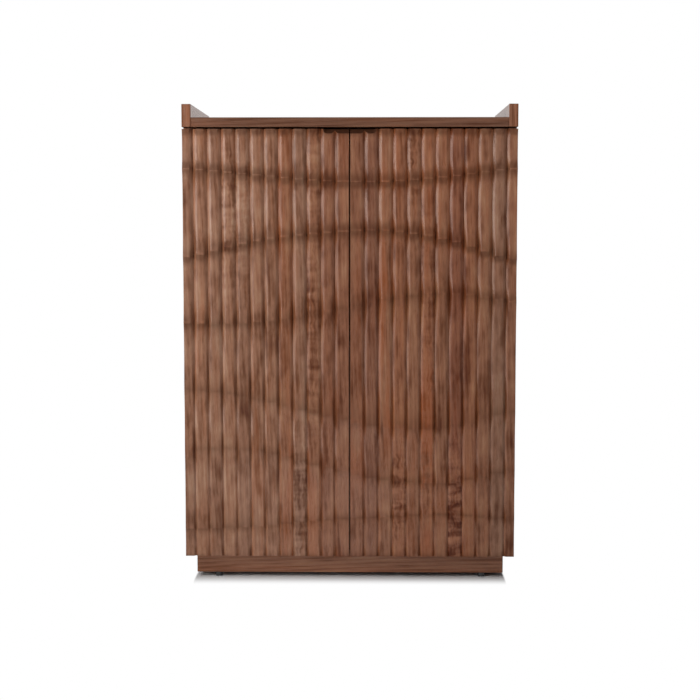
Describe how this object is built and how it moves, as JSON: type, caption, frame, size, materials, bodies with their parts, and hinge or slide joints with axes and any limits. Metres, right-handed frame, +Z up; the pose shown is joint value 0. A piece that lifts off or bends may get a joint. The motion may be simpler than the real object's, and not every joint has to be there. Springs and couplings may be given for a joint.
{
  "type": "wine cabinet",
  "caption": "Free-standing wine cabinet with carved stave doors on concealed hinges, a top held between raised sides, bottle cradles and stemware rails on a recessed plinth.",
  "frame": {"origin": "on the floor, under the middle of the cabinet's width and depth with the doors closed", "axes": "+Z up, -Y out of the doors, +X to the right as seen from the front"},
  "size_m": [0.914, 0.457, 1.314],
  "materials": {
    "walnut_case": "satin oiled walnut",
    "walnut_staves": "satin oiled walnut, tone varying from stave to stave",
    "walnut_lining": "satin walnut veneer",
    "walnut_plinth": "satin oiled walnut",
    "walnut_rack": "satin oiled walnut",
    "nickelled_steel": "nickel plated",
    "black_nylon": "matt"
  },
  "bodies": {
    "case": {"left_side_panel": "walnut_case", "right_side_panel": "walnut_case", "top_panel": "walnut_case", "bottom_panel": "walnut_lining", "back_panel": "walnut_lining", "fixed_shelf": "walnut_lining", "lower_divider": "walnut_lining", "plinth_front": "walnut_plinth", "plinth_back": "walnut_plinth", "plinth_left": "walnut_plinth", "plinth_right": "walnut_plinth", "glide_front_left": "black_nylon", "glide_front_right": "black_nylon", "glide_back_left": "black_nylon", "glide_back_right": "black_nylon", "stemware_rail_1": "walnut_rack", "stemware_rail_2": "walnut_rack", "stemware_rail_3": "walnut_rack", "neck_rail_lower": "walnut_rack", "neck_rail_upper": "walnut_rack", "body_rail_lower": "walnut_rack", "body_rail_upper": "walnut_rack", "left_hinge_arm_lower": "nickelled_steel", "left_hinge_arm_middle": "nickelled_steel", "left_hinge_arm_upper": "nickelled_steel", "right_hinge_arm_lower": "nickelled_steel", "right_hinge_arm_middle": "nickelled_steel", "right_hinge_arm_upper": "nickelled_steel"},
    "left_door": {"left_door_panel": "walnut_lining", "left_stave_01": "walnut_staves", "left_stave_02": "walnut_staves", "left_stave_03": "walnut_staves", "left_stave_04": "walnut_staves", "left_stave_05": "walnut_staves", "left_stave_06": "walnut_staves", "left_stave_07": "walnut_staves", "left_stave_08": "walnut_staves", "left_stave_09": "walnut_staves", "left_stave_10": "walnut_staves", "left_stave_11": "walnut_staves", "left_stave_12": "walnut_staves", "left_hinge_cup_lower": "nickelled_steel", "left_hinge_cup_middle": "nickelled_steel", "left_hinge_cup_upper": "nickelled_steel"},
    "right_door": {"right_door_panel": "walnut_lining", "right_stave_01": "walnut_staves", "right_stave_02": "walnut_staves", "right_stave_03": "walnut_staves", "right_stave_04": "walnut_staves", "right_stave_05": "walnut_staves", "right_stave_06": "walnut_staves", "right_stave_07": "walnut_staves", "right_stave_08": "walnut_staves", "right_stave_09": "walnut_staves", "right_stave_10": "walnut_staves", "right_stave_11": "walnut_staves", "right_stave_12": "walnut_staves", "right_hinge_cup_lower": "nickelled_steel", "right_hinge_cup_middle": "nickelled_steel", "right_hinge_cup_upper": "nickelled_steel"}
  },
  "joints": [
    {"name": "left_door_hinge", "type": "hinge", "parent": "case", "child": "left_door", "pos_m": [-0.449, -0.2012, 0.067], "axis": [0, 0, -1], "range_deg": [0, 100]},
    {"name": "right_door_hinge", "type": "hinge", "parent": "case", "child": "right_door", "pos_m": [0.449, -0.2012, 0.067], "axis": [0, 0, 1], "range_deg": [0, 100]}
  ]
}
